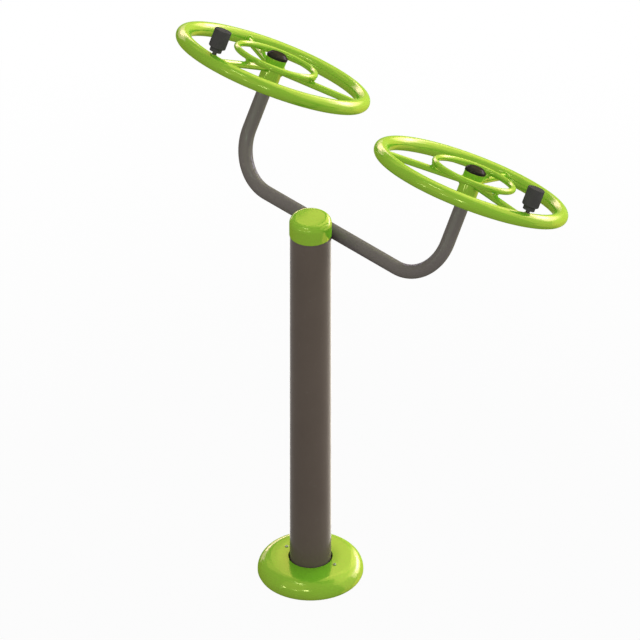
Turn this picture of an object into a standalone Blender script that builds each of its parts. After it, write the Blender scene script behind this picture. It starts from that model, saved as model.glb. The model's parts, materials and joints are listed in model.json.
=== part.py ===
"""A two-wheel tai chi spinner for parks and therapy gardens.

A post on a ground flange carries a bent cross arm. A tilted hand wheel runs on ball
bearings at each end of the arm, and a hand knob turns on a pin on each wheel's rim.

Units are metres. The origin is on the post's axis at the ground and +Z is up. The user
stands on the -Y side and faces +Y, so the wheel at +X is the one at the user's right.
"""
import math

import bmesh
import bpy
from mathutils import Matrix, Vector

# Clearances
SEAT_GAP = 0.0003          # between pieces that touch, press together or are welded
SEAL_GAP = 0.0004          # between a bearing seal's lip and the inner race
KNOB_GAP = 0.0003          # between the knob's pin and its bush
HUB_CLEARANCE = 0.002      # between the turning hub and the spindle's collar

# Ground flange, its gussets and anchor holes
FLANGE_RADIUS = 0.130
FLANGE_THICKNESS = 0.012
ANCHOR_CIRCLE_RADIUS = 0.100
ANCHOR_HOLE_RADIUS = 0.007
ANCHOR_COUNT = 4
GUSSET_THICKNESS = 0.006
GUSSET_HEIGHT = 0.028
GUSSET_REACH = 0.045
GUSSET_NOSE = 0.008

# Base cover, the domed skirt round the foot of the post
COVER_RADIUS = 0.148
COVER_WALL = 0.002
COVER_LIP_HEIGHT = 0.053
COVER_LIP_GAP = 0.0045
COVER_SHOULDER_RADIUS = 0.107
COVER_SHOULDER_HEIGHT = 0.047
COVER_HEM = 0.006
COVER_SCREW_CIRCLE_RADIUS = 0.080
COVER_SCREW_ANGLE = math.radians(11.8)
SCREW_RADIUS = 0.0025
SCREW_LENGTH = 0.014
SCREW_HEAD_RADIUS = 0.005
SCREW_HEAD_HEIGHT = 0.003
SCREW_CROWN_RADIUS = 0.003
SCREW_EDGE_RADIUS = 0.0045
SCREW_EDGE_HEIGHT = 0.0018
SCREW_SOCKET_RADIUS = 0.0018
SCREW_SOCKET_DEPTH = 0.0016
STANDOFF_RADIUS = 0.006

# Post and its cap
POST_RADIUS = 0.058
POST_WALL = 0.004
POST_TOP = 1.190
CAP_WALL = 0.0014
CAP_SKIRT = 0.036          # how far the skirt reaches below the post's end
CAP_RISE = 0.0205          # how far the cap stands above the post's end
CAP_FILLET = 0.0167
CAP_LEDGE = 0.0055
CAP_CROWN_THICKNESS = 0.004

# Cross arm, a tube bent up at both ends and carried behind the post by a saddle block
ARM_RADIUS = 0.0203
ARM_WALL = 0.003
ARM_BEND_RADIUS = 0.136
ARM_DROP = 0.0643          # from the post's end down to the bar's centreline
ARM_POST_GAP = 0.0042
SADDLE_WIDTH = 0.036
SADDLE_HEIGHT = 0.024

# Wheels: where they stand, and their rims, spokes and inner rings
WHEEL_SPACING = 0.7834
WHEEL_TILT = math.radians(30)
WHEEL_STANDOFF = 0.3216
WHEEL_RADIUS = 0.269
RIM_TUBE_RADIUS = 0.0207
RIM_WALL = 0.002
SPOKE_COUNT = 3
SPOKE_RADIUS = 0.010
SPOKE_WALL = 0.002
RING_RADIUS = 0.116
RING_TUBE_RADIUS = 0.009
RING_LIFT = 0.024
RING_FOOT_RADIUS = 0.007
SPOKE_ANGLES = {"right": math.radians(87.7), "left": math.radians(167.5)}

# Hub, bearings and spindle, measured along the wheel's axis from the rim's plane
HUB_RADIUS = 0.0296
HUB_BOTTOM = -0.042
HUB_TOP = 0.0307
HUB_CHAMFER = 0.001
BEARING_BORE_RADIUS = 0.010
BEARING_INNER_RACE = 0.0024
BEARING_OUTER_RACE = 0.0024
BEARING_RADIUS = 0.021
BEARING_WIDTH = 0.012
BEARING_SEAL = 0.001
BALL_COUNT = 8
CAGE_RADIUS = 0.0008
LOWER_BEARING_RECESS = 0.004
UPPER_BEARING_RECESS = 0.0047
HUB_WAIST_RADIUS = 0.0185
COLLAR_THICKNESS = 0.005
SPINDLE_PLUG_LENGTH = 0.045
SPINDLE_END_CHAMFER = 0.0015
WASHER_RADIUS = 0.017
WASHER_THICKNESS = 0.002
NUT_ACROSS_FLATS = 0.030
NUT_HEIGHT = 0.010
SPINDLE_PROUD = 0.002
HUB_CAP_OVERHANG = 0.0009
HUB_CAP_SIDE = 0.0075
HUB_CAP_HEIGHT = 0.0158
HUB_CAP_BEVEL = 0.010
HUB_CAP_WALL = 0.003
HUB_CAP_LIP = 0.0025
HUB_CAP_LIP_DEPTH = 0.004
HUB_CAP_DOME = 0.0006

# Hand knobs, measured along the wheel's axis from the rim's plane
KNOB_RADIUS = 0.0248
KNOB_TOP = 0.096
KNOB_BOTTOM = 0.030
KNOB_COLLAR_RADIUS = 0.0175
KNOB_COLLAR_HEIGHT = 0.010
KNOB_FLARE = 0.004
KNOB_EDGE = 0.0025
KNOB_COLLAR_EDGE = 0.001
STEM_RADIUS = 0.0065
PIN_RADIUS = 0.005
PIN_HEAD_RADIUS = 0.010
PIN_HEAD_HEIGHT = 0.007
STEM_DEPTH = 0.012
BUSH_WALL = 0.003
BUSH_FLANGE_RADIUS = 0.0105
BUSH_FLANGE_THICKNESS = 0.0017
LID_RADIUS = 0.018
LID_THICKNESS = 0.0035
LID_CHAMFER = 0.0006

# How finely round pieces are faceted
BIG_SIDES = 32
MEDIUM_SIDES = 24
KNOB_SIDES = 20
RACE_SIDES = 16
SMALL_SIDES = 12
RIM_STEPS = 32
RIM_SIDES = 12
RIM_BORE_SIDES = 6
RING_STEPS = 24
RING_SIDES = 8
BALL_STEPS = 3
BALL_SIDES = 4
BEND_STEPS = 8
FILLET_STEPS = 4
CUT_MARGIN = 0.004         # how far a cutter runs past what it cuts
SHARP_ANGLE = math.radians(38)


# Materials

def finish_of(name, colour, roughness, metallic):
    """A Principled material of one colour."""
    material = bpy.data.materials.new(name)
    material.use_nodes = True
    shader = material.node_tree.nodes["Principled BSDF"]
    shader.inputs["Base Color"].default_value = (*colour, 1.0)
    shader.inputs["Roughness"].default_value = roughness
    shader.inputs["Metallic"].default_value = metallic
    material.diffuse_color = (*colour, 1.0)
    return material


def own_material(node, recipe):
    """Each sub-part has its own material, made to its finish's recipe."""
    return finish_of(node + "_finish", *recipe)


# Finishes: colour, roughness and how metallic
GREEN_PAINT = ((0.33, 0.55, 0.03), 0.22, 0.0)
BROWN_PAINT = ((0.085, 0.068, 0.055), 0.30, 0.0)
BLACK_PLASTIC = ((0.030, 0.029, 0.030), 0.45, 0.0)
BLACK_GLOSS = ((0.012, 0.012, 0.013), 0.18, 0.0)
ZINC_STEEL = ((0.55, 0.56, 0.58), 0.35, 1.0)
BEARING_STEEL = ((0.60, 0.60, 0.62), 0.20, 1.0)
BRONZE = ((0.55, 0.36, 0.16), 0.35, 1.0)
SCREW_STEEL = ((0.30, 0.31, 0.32), 0.35, 1.0)
BLACK_STEEL = ((0.040, 0.040, 0.043), 0.35, 1.0)


# Building blocks

def clear_scene():
    for thing in list(bpy.data.objects):
        bpy.data.objects.remove(thing, do_unlink=True)


def empty_at(name, location, rotation=(0, 0, 0), parent=None):
    """An empty that stands on a joint's axis, with the axis along its own Z."""
    empty = bpy.data.objects.new(name, None)
    empty.location = location
    empty.rotation_euler = rotation
    empty.parent = parent
    bpy.context.scene.collection.objects.link(empty)
    return empty


def object_from(bm, name, recipe=None, parent=None, location=(0, 0, 0), rotation=(0, 0, 0)):
    """Turn a bmesh into an object, smooth on its round faces."""
    mesh = bpy.data.meshes.new(name)
    bm.to_mesh(mesh)
    bm.free()
    mesh.shade_smooth()
    mesh.set_sharp_from_angle(angle=SHARP_ANGLE)
    if recipe:
        mesh.materials.append(own_material(name, recipe))
    piece = bpy.data.objects.new(name, mesh)
    piece.location = location
    piece.rotation_euler = rotation
    piece.parent = parent
    bpy.context.scene.collection.objects.link(piece)
    return piece


def spin_outline(outline, steps):
    """Spin an outline of (radius, height) points round Z; its ends may lie on the axis."""
    bm = bmesh.new()
    on_axis = [radius < 1e-9 for radius, _ in outline]
    chain = [bm.verts.new((radius, 0.0, height)) for radius, height in outline]
    edges = [bm.edges.new(pair) for pair in zip(chain, chain[1:])]
    if not (on_axis[0] and on_axis[-1]):
        edges.append(bm.edges.new((chain[-1], chain[0])))
    bmesh.ops.spin(bm, geom=chain + edges, cent=(0, 0, 0), axis=(0, 0, 1), angle=2 * math.pi,
                   steps=steps, use_merge=True, use_duplicate=False)
    bmesh.ops.remove_doubles(bm, verts=bm.verts, dist=1e-6)
    bmesh.ops.recalc_face_normals(bm, faces=bm.faces)
    return bm


def turned(name, outline, steps, recipe=None, parent=None, location=(0, 0, 0), rotation=(0, 0, 0)):
    """A turned piece, such as a tube, washer, cap or spindle."""
    return object_from(spin_outline(outline, steps), name, recipe, parent, location, rotation)


def disc_outline(radius, bottom, top):
    return [(0, bottom), (radius, bottom), (radius, top), (0, top)]


def tube_outline(inner, outer, bottom, top):
    return [(inner, bottom), (outer, bottom), (outer, top), (inner, top)]


def arc_points(centre, radius, start, end, steps):
    """Points on an arc in the (radius, height) plane; angles are in degrees."""
    angles = [math.radians(start + (end - start) * i / steps) for i in range(steps + 1)]
    return [(centre[0] + radius * math.cos(a), centre[1] + radius * math.sin(a)) for a in angles]


def ring_circle(bm, ring_radius, tube_radius, lift, sides):
    """One cross-section circle of a ring, in the XZ plane."""
    section = bmesh.ops.create_circle(bm, cap_ends=False, segments=sides, radius=tube_radius)
    place = Matrix.Translation((ring_radius, 0, lift)) @ Matrix.Rotation(math.pi / 2, 4, "X")
    bmesh.ops.transform(bm, matrix=place, verts=section["verts"])
    edges = {edge for vert in section["verts"] for edge in vert.link_edges}
    return section["verts"], list(edges)


def ring_surface(bm, ring_radius, tube_radius, lift, steps, sides):
    """A closed ring surface with its faces out; returns its faces."""
    before = set(bm.faces)
    verts, edges = ring_circle(bm, ring_radius, tube_radius, lift, sides)
    bmesh.ops.spin(bm, geom=verts + edges, cent=(0, 0, 0), axis=(0, 0, 1), angle=2 * math.pi,
                   steps=steps, use_merge=True, use_duplicate=False)
    faces = [face for face in bm.faces if face not in before]
    bmesh.ops.recalc_face_normals(bm, faces=faces)
    return faces


def solid_ring(name, ring_radius, tube_radius, lift, steps, sides, parent, recipe=None):
    bm = bmesh.new()
    ring_surface(bm, ring_radius, tube_radius, lift, steps, sides)
    return object_from(bm, name, recipe, parent)


def hollow_ring(name, ring_radius, tube_radius, wall, lift, steps, sides, bore_sides, recipe, parent):
    """A tube bent into a full circle: an outer surface and a bore that faces inwards."""
    bm = bmesh.new()
    ring_surface(bm, ring_radius, tube_radius, lift, steps, sides)
    bore = ring_surface(bm, ring_radius, tube_radius - wall, lift, steps, bore_sides)
    bmesh.ops.reverse_faces(bm, faces=bore)
    return object_from(bm, name, recipe, parent)


def as_cutter(piece):
    piece.hide_render = True
    piece.display_type = "WIRE"
    return piece


def change(piece, operation, tool):
    """Join a tool's shape to a piece, or take it out of the piece."""
    modifier = piece.modifiers.new(tool.name, "BOOLEAN")
    modifier.operation = operation
    modifier.object = as_cutter(tool)


def cut(piece, cutter):
    change(piece, "DIFFERENCE", cutter)


def drill(name, radius, bottom, top, sides, parent=None, location=(0, 0, 0)):
    return as_cutter(turned(name, disc_outline(radius, bottom, top), sides, None, parent, location))


def block(name, size, centre, recipe=None, parent=None, rotation=(0, 0, 0)):
    bm = bmesh.new()
    bmesh.ops.create_cube(bm, size=1.0)
    bmesh.ops.scale(bm, vec=size, verts=bm.verts)
    return object_from(bm, name, recipe, parent, centre, rotation)


def polar(radius, angle, height=0.0):
    return Vector((radius * math.cos(angle), radius * math.sin(angle), height))


# Base

def cover_top_at(radius):
    """Height of the base cover's nearly flat top at a radius."""
    lip_radius = POST_RADIUS + COVER_LIP_GAP
    share = (radius - lip_radius) / (COVER_SHOULDER_RADIUS - lip_radius)
    return COVER_LIP_HEIGHT + share * (COVER_SHOULDER_HEIGHT - COVER_LIP_HEIGHT)


def cover_outline():
    """The cover's section: hem, round shoulder, sloping top and lip, then back along its inside."""
    lip_radius = POST_RADIUS + COVER_LIP_GAP
    corner = (COVER_SHOULDER_RADIUS, COVER_HEM)
    width = COVER_RADIUS - COVER_SHOULDER_RADIUS
    rise = COVER_SHOULDER_HEIGHT - COVER_HEM

    def shoulder(shrink, backwards):
        points = [(corner[0] + (width - shrink) * x, corner[1] + (rise - shrink) * y)
                  for x, y in arc_points((0, 0), 1.0, 0, 90, FILLET_STEPS + 1)]
        return points[::-1] if backwards else points

    hem_in = COVER_RADIUS - COVER_HEM / 2
    return ([(hem_in, 0.0)] + shoulder(0.0, False)
            + [(lip_radius, COVER_LIP_HEIGHT), (lip_radius, COVER_LIP_HEIGHT - COVER_WALL)]
            + shoulder(COVER_WALL, True) + [(hem_in - COVER_WALL, 0.0)])


def make_flange():
    flange = turned("ground_flange", disc_outline(FLANGE_RADIUS, 0, FLANGE_THICKNESS),
                    BIG_SIDES, ZINC_STEEL)
    for index in range(ANCHOR_COUNT):
        place = polar(ANCHOR_CIRCLE_RADIUS, math.pi / ANCHOR_COUNT + index * math.tau / ANCHOR_COUNT)
        cut(flange, drill(f"anchor_drill_{index + 1}", ANCHOR_HOLE_RADIUS, -CUT_MARGIN,
                          FLANGE_THICKNESS + CUT_MARGIN, SMALL_SIDES, None, place))


def make_gusset(index):
    """A flat web with a cut corner, standing on the flange against the post."""
    heel = POST_RADIUS + SEAT_GAP
    foot = FLANGE_THICKNESS + SEAT_GAP
    outline = [(heel, foot), (heel + GUSSET_REACH, foot), (heel + GUSSET_REACH, foot + GUSSET_NOSE),
               (heel + GUSSET_NOSE, foot + GUSSET_HEIGHT), (heel, foot + GUSSET_HEIGHT)]
    bm = bmesh.new()
    web = bm.faces.new([bm.verts.new((radius, -GUSSET_THICKNESS / 2, height)) for radius, height in outline])
    grown = bmesh.ops.extrude_face_region(bm, geom=[web])
    bmesh.ops.translate(bm, vec=(0, GUSSET_THICKNESS, 0),
                        verts=[item for item in grown["geom"] if isinstance(item, bmesh.types.BMVert)])
    bmesh.ops.recalc_face_normals(bm, faces=bm.faces)
    object_from(bm, f"flange_gusset_{index + 1}", ZINC_STEEL,
                rotation=(0, 0, index * math.tau / ANCHOR_COUNT))


def make_base_cover():
    cover = turned("base_cover", cover_outline(), BIG_SIDES, GREEN_PAINT)
    for index in range(2):
        angle = COVER_SCREW_ANGLE + index * math.pi
        place = polar(COVER_SCREW_CIRCLE_RADIUS, angle)
        outer_edge = COVER_SCREW_CIRCLE_RADIUS + STANDOFF_RADIUS
        inner_edge = COVER_SCREW_CIRCLE_RADIUS - SCREW_HEAD_RADIUS
        standoff_top = cover_top_at(outer_edge) - COVER_WALL - 2 * SEAT_GAP
        head_seat = cover_top_at(inner_edge) + SEAT_GAP
        hole = SCREW_RADIUS + SEAT_GAP
        cut(cover, drill(f"cover_drill_{index + 1}", hole, standoff_top, head_seat + CUT_MARGIN,
                         SMALL_SIDES, None, place))
        standoff_bottom = FLANGE_THICKNESS + SEAT_GAP
        bore_bottom = head_seat - SCREW_LENGTH - SEAT_GAP
        turned(f"cover_standoff_{index + 1}",
               [(0, standoff_bottom), (STANDOFF_RADIUS, standoff_bottom), (STANDOFF_RADIUS, standoff_top),
                (hole, standoff_top), (hole, bore_bottom), (0, bore_bottom)],
               SMALL_SIDES, ZINC_STEEL, location=place)
        make_screw(f"cover_screw_{index + 1}", head_seat, place)


def make_screw(name, seat, place):
    """A button-head screw with a round socket, seated at a height and pointing down."""
    crown = seat + SCREW_HEAD_HEIGHT
    socket_bottom = crown - SCREW_SOCKET_DEPTH
    turned(name,
           [(0, seat - SCREW_LENGTH), (SCREW_RADIUS, seat - SCREW_LENGTH), (SCREW_RADIUS, seat),
            (SCREW_HEAD_RADIUS, seat), (SCREW_EDGE_RADIUS, seat + SCREW_EDGE_HEIGHT),
            (SCREW_CROWN_RADIUS, crown), (SCREW_SOCKET_RADIUS, crown),
            (SCREW_SOCKET_RADIUS, socket_bottom), (0, socket_bottom)],
           SMALL_SIDES, SCREW_STEEL, location=place)


# Post

def make_post():
    turned("post_tube", tube_outline(POST_RADIUS - POST_WALL, POST_RADIUS,
                                     FLANGE_THICKNESS + SEAT_GAP, POST_TOP), BIG_SIDES, BROWN_PAINT)


def make_post_cap():
    """A skirted cap whose inner ledge rests on the end of the post."""
    bore = POST_RADIUS + SEAT_GAP
    outer = bore + CAP_WALL
    skirt_bottom = POST_TOP - CAP_SKIRT
    ledge_height = POST_TOP + SEAT_GAP
    cap_top = POST_TOP + CAP_RISE
    crown_radius = outer - CAP_FILLET
    ledge_radius = bore - CAP_LEDGE
    ceiling = cap_top - CAP_CROWN_THICKNESS
    turned("post_cap",
           [(bore, skirt_bottom), (outer, skirt_bottom)]
           + arc_points((crown_radius, cap_top - CAP_FILLET), CAP_FILLET, 0, 90, FILLET_STEPS)
           + [(0, cap_top), (0, ceiling), (crown_radius, ceiling), (ledge_radius, ledge_height + CAP_LEDGE),
              (ledge_radius, ledge_height), (bore, ledge_height)],
           BIG_SIDES, GREEN_PAINT)


# Cross arm

def bar_height():
    """Height of the bar's centreline."""
    return POST_TOP - ARM_DROP


def bar_offset():
    """How far the bar's centreline lies from the post's axis, on the user's side."""
    return POST_RADIUS + ARM_POST_GAP + ARM_RADIUS


def wheel_normal():
    """The direction of both wheels' axes: up, and tipped towards the user."""
    return Vector((0, -math.sin(WHEEL_TILT), math.cos(WHEEL_TILT)))


def wheel_centre(side):
    """Centre of a wheel's rim plane; side is +1 at the user's right and -1 at the left."""
    corner = Vector((side * WHEEL_SPACING / 2, -bar_offset(), bar_height()))
    return corner + WHEEL_STANDOFF * wheel_normal()


def arm_end():
    """Where the arm's tube ends on a wheel's axis, below the rim's plane."""
    return HUB_BOTTOM - HUB_CLEARANCE - COLLAR_THICKNESS - SEAT_GAP


def push_loop(bm, loop, move):
    """Extrude the tube's open end and move it on; returns the edges of the new end."""
    grown = bmesh.ops.extrude_edge_only(bm, edges=loop)["geom"]
    verts = {item for item in grown if isinstance(item, bmesh.types.BMVert)}
    bmesh.ops.transform(bm, matrix=move, verts=list(verts))
    return [item for item in grown if isinstance(item, bmesh.types.BMEdge) and verts.issuperset(item.verts)]


def bend_loop(bm, loop, centre, axis):
    """Carry the tube's end through a quarter turn in small steps."""
    step = (Matrix.Translation(centre) @ Matrix.Rotation(math.pi / 2 / BEND_STEPS, 4, axis)
            @ Matrix.Translation(-centre))
    for _ in range(BEND_STEPS):
        loop = push_loop(bm, loop, step)
    return loop


def make_arm_tube():
    """One tube: down from the right wheel, along behind the post and up to the left wheel."""
    normal = wheel_normal()
    turn_axis = normal.cross(Vector((1, 0, 0)))
    upright = WHEEL_STANDOFF + arm_end() - ARM_BEND_RADIUS
    straight = WHEEL_SPACING - 2 * ARM_BEND_RADIUS
    bend_height = Vector((0, -bar_offset(), bar_height())) + ARM_BEND_RADIUS * normal
    bend_reach = Vector((straight / 2, 0, 0))
    bm = bmesh.new()
    bmesh.ops.create_circle(bm, cap_ends=False, segments=SMALL_SIDES, radius=ARM_RADIUS)
    place = Matrix.Translation(wheel_centre(1) + arm_end() * normal) @ Matrix.Rotation(WHEEL_TILT, 4, "X")
    bmesh.ops.transform(bm, matrix=place, verts=bm.verts)
    loop = push_loop(bm, list(bm.edges), Matrix.Translation(-upright * normal))
    loop = bend_loop(bm, loop, bend_height + bend_reach, turn_axis)
    loop = push_loop(bm, loop, Matrix.Translation((-straight, 0, 0)))
    loop = bend_loop(bm, loop, bend_height - bend_reach, turn_axis)
    push_loop(bm, loop, Matrix.Translation(upright * normal))
    bmesh.ops.recalc_face_normals(bm, faces=bm.faces)
    tube = object_from(bm, "arm_tube", BROWN_PAINT)
    wall = tube.modifiers.new("tube_wall", "SOLIDIFY")
    wall.thickness = ARM_WALL
    wall.offset = -1
    wall.use_even_offset = True


def make_arm_saddle():
    """The block between post and arm, hollowed to fit both."""
    depth = bar_offset()
    saddle = block("arm_saddle", (SADDLE_WIDTH, depth, SADDLE_HEIGHT), (0, -depth / 2, bar_height()),
                   BROWN_PAINT)
    half = SADDLE_HEIGHT / 2 + CUT_MARGIN
    cut(saddle, drill("saddle_post_cutter", POST_RADIUS + SEAT_GAP, bar_height() - half, bar_height() + half,
                      BIG_SIDES))
    reach = SADDLE_WIDTH / 2 + CUT_MARGIN
    bar_axis = empty_at("saddle_bar_axis", (0, -bar_offset(), bar_height()), (WHEEL_TILT, 0, 0))
    cut(saddle, turned("saddle_arm_cutter", disc_outline(ARM_RADIUS + SEAT_GAP, -reach, reach),
                       SMALL_SIDES, None, bar_axis, (0, 0, 0), (0, math.pi / 2, 0)))


# Wheels

def lower_bearing():
    """Bottom of the lower bearing, above the hub's bottom face."""
    return HUB_BOTTOM + LOWER_BEARING_RECESS


def upper_bearing():
    """Bottom of the upper bearing, below the hub's top face."""
    return HUB_TOP - UPPER_BEARING_RECESS - BEARING_WIDTH


def spindle_top():
    nut_bottom = upper_bearing() + BEARING_WIDTH + WASHER_THICKNESS + 2 * SEAT_GAP
    return nut_bottom + NUT_HEIGHT + SPINDLE_PROUD


def race_radius():
    """Outer radius of a bearing's inner race."""
    return BEARING_BORE_RADIUS + SEAT_GAP + BEARING_INNER_RACE


def make_spindle(name, axis):
    collar_top = HUB_BOTTOM - HUB_CLEARANCE
    collar_bottom = collar_top - COLLAR_THICKNESS
    plug_radius = ARM_RADIUS - ARM_WALL - SEAT_GAP
    plug_bottom = collar_bottom - SPINDLE_PLUG_LENGTH
    shoulder = lower_bearing() - SEAT_GAP
    top = spindle_top()
    turned(name + "_spindle",
           [(0, plug_bottom), (plug_radius, plug_bottom), (plug_radius, collar_bottom),
            (ARM_RADIUS, collar_bottom), (ARM_RADIUS, collar_top), (race_radius(), collar_top),
            (race_radius(), shoulder), (BEARING_BORE_RADIUS, shoulder),
            (BEARING_BORE_RADIUS, top - SPINDLE_END_CHAMFER),
            (BEARING_BORE_RADIUS - SPINDLE_END_CHAMFER, top), (0, top)],
           SMALL_SIDES, ZINC_STEEL, axis)


def make_bearing(name, bottom, axis):
    """A sealed ball bearing: an inner race, and an outer race with its two seals."""
    top = bottom + BEARING_WIDTH
    bore = BEARING_BORE_RADIUS + SEAT_GAP
    lip = race_radius() + SEAL_GAP
    track = BEARING_RADIUS - BEARING_OUTER_RACE
    turned(name + "_inner_race", tube_outline(bore, race_radius(), bottom, top), SMALL_SIDES,
           BEARING_STEEL, axis)
    turned(name + "_outer_race",
           [(lip, bottom), (BEARING_RADIUS, bottom), (BEARING_RADIUS, top), (lip, top),
            (lip, top - BEARING_SEAL), (track, top - BEARING_SEAL), (track, bottom + BEARING_SEAL),
            (lip, bottom + BEARING_SEAL)],
           RACE_SIDES, BEARING_STEEL, axis)
    make_ball_set(name, bottom, axis)


def make_ball_set(name, bottom, axis):
    """A bearing's balls strung on their cage: a ring that swells at each ball."""
    track = BEARING_RADIUS - BEARING_OUTER_RACE
    pitch_radius = (track + race_radius()) / 2
    ball_radius = (track - race_radius()) / 2 - SEAT_GAP
    steps = BALL_COUNT * BALL_STEPS
    bm = bmesh.new()
    verts, edges = ring_circle(bm, pitch_radius, CAGE_RADIUS, bottom + BEARING_WIDTH / 2, BALL_SIDES)
    bmesh.ops.spin(bm, geom=verts + edges, cent=(0, 0, 0), axis=(0, 0, 1), angle=math.tau,
                   steps=steps, use_merge=True, use_duplicate=False)
    for index in range(BALL_COUNT):
        angle = index * math.tau / BALL_COUNT
        middle = polar(pitch_radius, angle, bottom + BEARING_WIDTH / 2)
        swell = [vert for vert in bm.verts if (vert.co - middle).length < 2 * CAGE_RADIUS]
        bmesh.ops.scale(bm, vec=(ball_radius / CAGE_RADIUS,) * 3, space=Matrix.Translation(-middle),
                        verts=swell)
    bmesh.ops.recalc_face_normals(bm, faces=bm.faces)
    object_from(bm, name + "_ball_set", BEARING_STEEL, axis)


def make_spindle_stack(name, axis):
    """What the nut clamps on the spindle: spacer, washer and the nut itself."""
    bore = BEARING_BORE_RADIUS + SEAT_GAP
    spacer_bottom = lower_bearing() + BEARING_WIDTH + SEAT_GAP
    turned(name + "_bearing_spacer",
           tube_outline(bore, race_radius(), spacer_bottom, upper_bearing() - SEAT_GAP),
           SMALL_SIDES, ZINC_STEEL, axis)
    washer_bottom = upper_bearing() + BEARING_WIDTH + SEAT_GAP
    washer_top = washer_bottom + WASHER_THICKNESS
    turned(name + "_spindle_washer", tube_outline(bore, WASHER_RADIUS, washer_bottom, washer_top),
           SMALL_SIDES, ZINC_STEEL, axis)
    nut_bottom = washer_top + SEAT_GAP
    nut_radius = NUT_ACROSS_FLATS / math.sqrt(3)
    nut = turned(name + "_spindle_nut", disc_outline(nut_radius, nut_bottom, nut_bottom + NUT_HEIGHT),
                 6, ZINC_STEEL, axis)
    cut(nut, drill(name + "_nut_drill", bore, nut_bottom - CUT_MARGIN,
                   nut_bottom + NUT_HEIGHT + CUT_MARGIN, SMALL_SIDES, axis))


def make_hub(name, axis):
    seat = BEARING_RADIUS + SEAT_GAP
    lower_shoulder = lower_bearing() + BEARING_WIDTH + SEAT_GAP
    upper_shoulder = upper_bearing() - SEAT_GAP
    edge = HUB_RADIUS - HUB_CHAMFER
    turned(name + "_hub",
           [(seat, HUB_BOTTOM), (edge, HUB_BOTTOM), (HUB_RADIUS, HUB_BOTTOM + HUB_CHAMFER),
            (HUB_RADIUS, HUB_TOP - HUB_CHAMFER), (edge, HUB_TOP), (seat, HUB_TOP),
            (seat, upper_shoulder), (HUB_WAIST_RADIUS, upper_shoulder), (HUB_WAIST_RADIUS, lower_shoulder),
            (seat, lower_shoulder)],
           MEDIUM_SIDES, GREEN_PAINT, axis)


def make_hub_cap(name, axis):
    """A bevelled cap over the nut, with a lip that plugs into the hub's upper seat."""
    bottom = HUB_TOP + SEAT_GAP
    side_top = bottom + HUB_CAP_SIDE
    outer = HUB_RADIUS + HUB_CAP_OVERHANG
    crown_radius = outer - HUB_CAP_BEVEL
    crown = bottom + HUB_CAP_HEIGHT
    ceiling = crown - HUB_CAP_WALL
    lip_outer = BEARING_RADIUS
    lip_inner = lip_outer - HUB_CAP_LIP
    inside = outer - HUB_CAP_WALL
    turned(name + "_hub_cap",
           [(lip_inner, bottom - HUB_CAP_LIP_DEPTH), (lip_outer, bottom - HUB_CAP_LIP_DEPTH),
            (lip_outer, bottom), (outer, bottom), (outer, side_top),
            (crown_radius, crown), (0, crown + HUB_CAP_DOME), (0, ceiling),
            (crown_radius - HUB_CAP_WALL, ceiling), (inside, side_top),
            (inside, bottom + HUB_CAP_WALL), (lip_inner, bottom + HUB_CAP_WALL)],
           MEDIUM_SIDES, BLACK_GLOSS, axis)


def make_rim(name, axis):
    rim = hollow_ring(name + "_rim", WHEEL_RADIUS, RIM_TUBE_RADIUS, RIM_WALL, 0, RIM_STEPS, RIM_SIDES,
                      RIM_BORE_SIDES, GREEN_PAINT, axis)
    cut(rim, drill(name + "_stem_drill", STEM_RADIUS + SEAT_GAP, STEM_DEPTH - CUT_MARGIN,
                   RIM_TUBE_RADIUS + CUT_MARGIN, SMALL_SIDES, axis,
                   polar(WHEEL_RADIUS, SPOKE_ANGLES[name])))


def spoke_angles(name):
    """The directions of a wheel's spokes in its rim plane; the first runs to the knob."""
    return [SPOKE_ANGLES[name] + index * math.tau / SPOKE_COUNT for index in range(SPOKE_COUNT)]


def make_inner_ring(name, axis):
    """The small ring of solid bar above the spokes, with a coped foot on each spoke."""
    ring = solid_ring(name + "_inner_ring", RING_RADIUS, RING_TUBE_RADIUS, RING_LIFT, RING_STEPS,
                      RING_SIDES, axis, GREEN_PAINT)
    for number, angle in enumerate(spoke_angles(name), 1):
        foot = turned(f"{name}_ring_foot_{number}", disc_outline(RING_FOOT_RADIUS, 0, RING_LIFT),
                      SMALL_SIDES, None, axis, polar(RING_RADIUS, angle))
        change(ring, "UNION", foot)
        reach = RING_FOOT_RADIUS + CUT_MARGIN
        cope = turned(f"{name}_foot_cope_{number}",
                      disc_outline(SPOKE_RADIUS + SEAT_GAP, RING_RADIUS - reach, RING_RADIUS + reach),
                      SMALL_SIDES, None, axis, (0, 0, 0), (0, math.pi / 2, angle))
        cut(ring, cope)


def make_spokes(name, axis):
    """Three tube spokes, coped to the hub and the rim."""
    rim_cutter = solid_ring(name + "_rim_cutter", WHEEL_RADIUS, RIM_TUBE_RADIUS + SEAT_GAP, 0,
                            RIM_STEPS, RIM_SIDES, axis)
    hub_cutter = drill(name + "_hub_cutter", HUB_RADIUS + SEAT_GAP, -2 * SPOKE_RADIUS, 2 * SPOKE_RADIUS,
                       MEDIUM_SIDES, axis)
    start = HUB_RADIUS - CUT_MARGIN
    end = WHEEL_RADIUS - RIM_TUBE_RADIUS / 2
    for number, angle in enumerate(spoke_angles(name), 1):
        spoke = turned(f"{name}_spoke_{number}",
                       tube_outline(SPOKE_RADIUS - SPOKE_WALL, SPOKE_RADIUS, start, end),
                       SMALL_SIDES, GREEN_PAINT, axis, (0, 0, 0), (0, math.pi / 2, angle))
        cut(spoke, hub_cutter)
        cut(spoke, rim_cutter)


# Hand knobs

def bush_radius():
    return PIN_RADIUS + KNOB_GAP + BUSH_WALL


def head_seat():
    """Underside of the pin's head, inside the knob."""
    return KNOB_TOP - LID_THICKNESS - PIN_HEAD_HEIGHT - 4 * SEAT_GAP


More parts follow.
